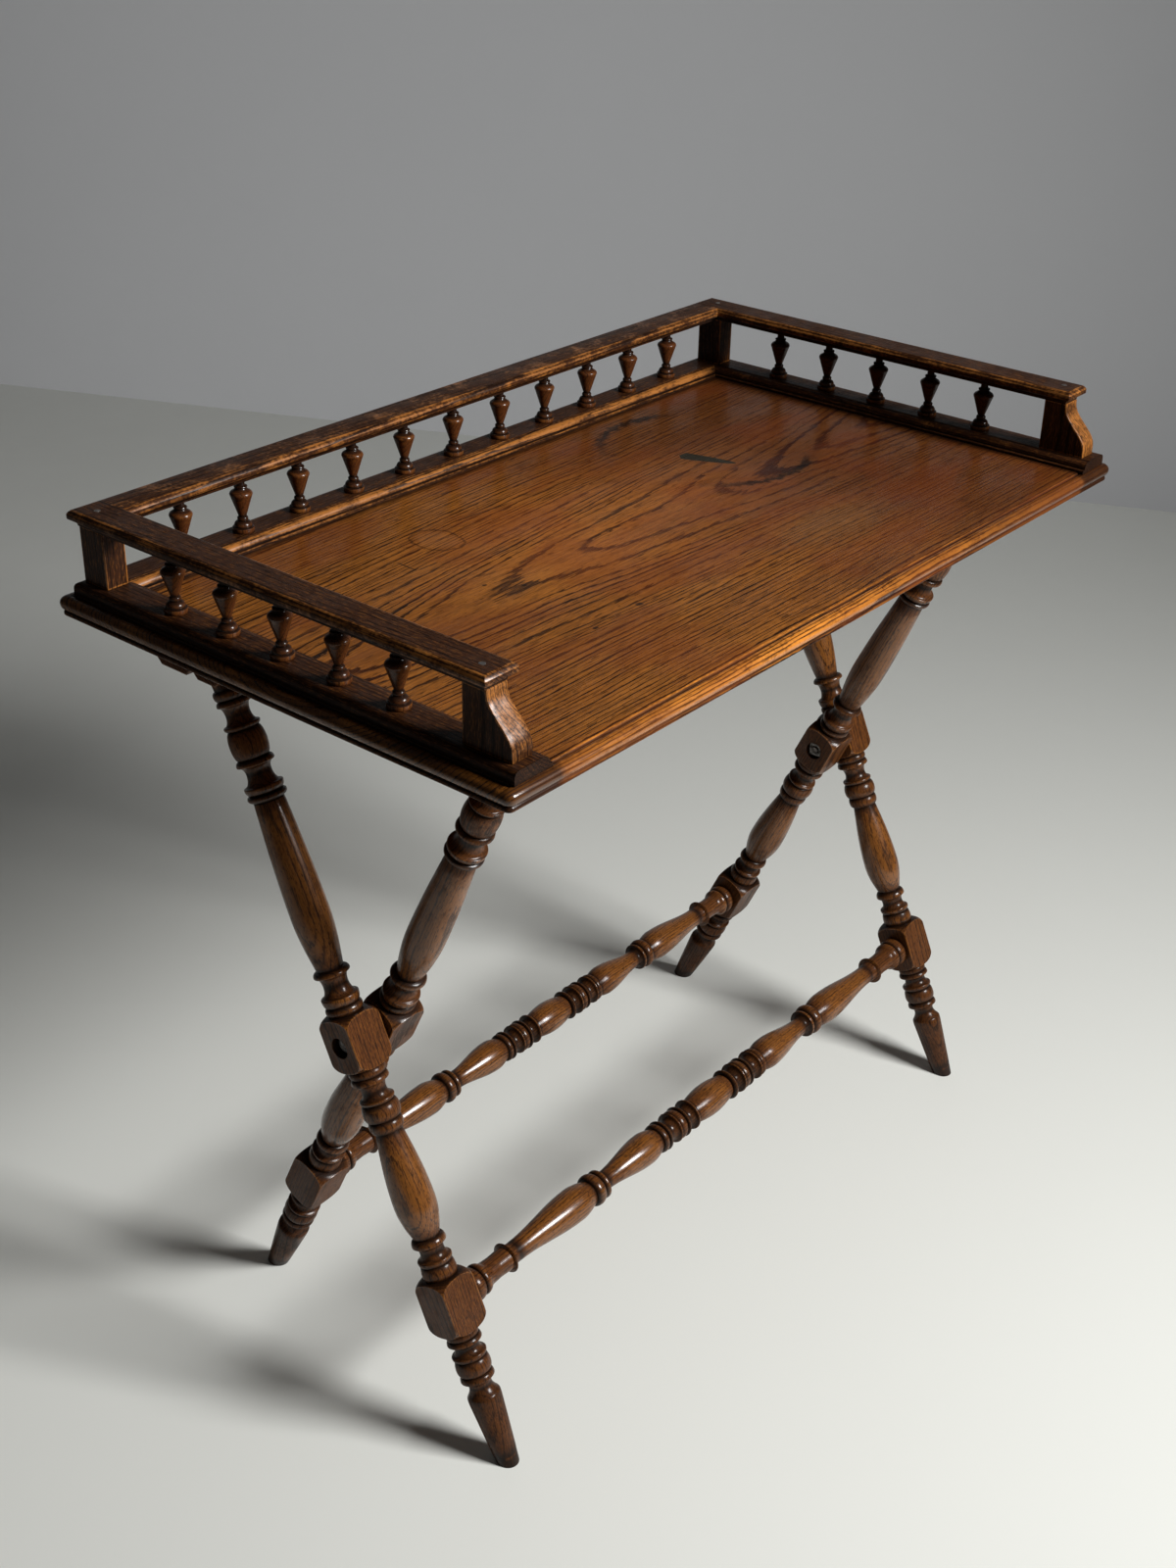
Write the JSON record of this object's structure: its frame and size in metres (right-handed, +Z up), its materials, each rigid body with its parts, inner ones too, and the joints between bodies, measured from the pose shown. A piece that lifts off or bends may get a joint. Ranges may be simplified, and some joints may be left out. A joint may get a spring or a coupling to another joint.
{
  "type": "folding tray table",
  "caption": "Folding oak tray table: moulded tray with a spindle gallery, on turned legs that cross, fold and let the tray tip up.",
  "frame": {"origin": "on the floor, under the middle of the tray", "axes": "+X along the tray, +Y from the open front to the gallery at the back, +Z up"},
  "size_m": [0.83, 0.467, 0.762],
  "materials": {
    "tray_oak": "glossy shellac",
    "gallery_oak": "glossy shellac",
    "spindle_oak": "glossy shellac",
    "leg_oak": "glossy shellac",
    "rail_oak": "satin, worn",
    "hinge_brass": "dull, aged",
    "pivot_steel": "dark, oiled"
  },
  "bodies": {
    "outer_frame": {"outer_leg_left": "leg_oak", "outer_leg_right": "leg_oak", "front_stretcher": "leg_oak", "outer_top_rail": "rail_oak", "hinge_left_frame_leaf": "hinge_brass", "hinge_right_frame_leaf": "hinge_brass", "hinge_left_pin": "hinge_brass", "hinge_right_pin": "hinge_brass", "pivot_bolt_left": "pivot_steel", "pivot_bolt_right": "pivot_steel", "pivot_nut_left": "pivot_steel", "pivot_nut_right": "pivot_steel", "pivot_washer_left": "pivot_steel", "pivot_washer_right": "pivot_steel"},
    "inner_frame": {"inner_leg_left": "leg_oak", "inner_leg_right": "leg_oak", "rear_stretcher": "leg_oak", "inner_top_rail": "rail_oak"},
    "tray": {"tray_top": "tray_oak", "gallery_sole_left": "gallery_oak", "gallery_sole_right": "gallery_oak", "gallery_sole_back": "gallery_oak", "gallery_rail_left": "gallery_oak", "gallery_rail_right": "gallery_oak", "gallery_rail_back": "gallery_oak", "corner_post_left": "gallery_oak", "corner_post_right": "gallery_oak", "end_bracket_left": "gallery_oak", "end_bracket_right": "gallery_oak", "left_spindles": "spindle_oak", "right_spindles": "spindle_oak", "back_spindles": "spindle_oak", "hinge_rail": "rail_oak", "rail_rest_left": "rail_oak", "rail_rest_right": "rail_oak", "hinge_left_tray_leaf": "hinge_brass", "hinge_right_tray_leaf": "hinge_brass"}
  },
  "joints": [
    {"name": "leg_fold", "type": "hinge", "parent": "outer_frame", "child": "inner_frame", "pos_m": [0, -0.012, 0.359], "axis": [-1, 0, 0], "range_deg": [0, 39]},
    {"name": "tray_tilt", "type": "hinge", "parent": "outer_frame", "child": "tray", "pos_m": [0, 0.13143, 0.64], "axis": [-1, 0, 0], "range_deg": [0, 100]}
  ],
  "couplings": [
    {"joint": "leg_fold", "follows": "tray_tilt", "ratio": 0.39}
  ]
}
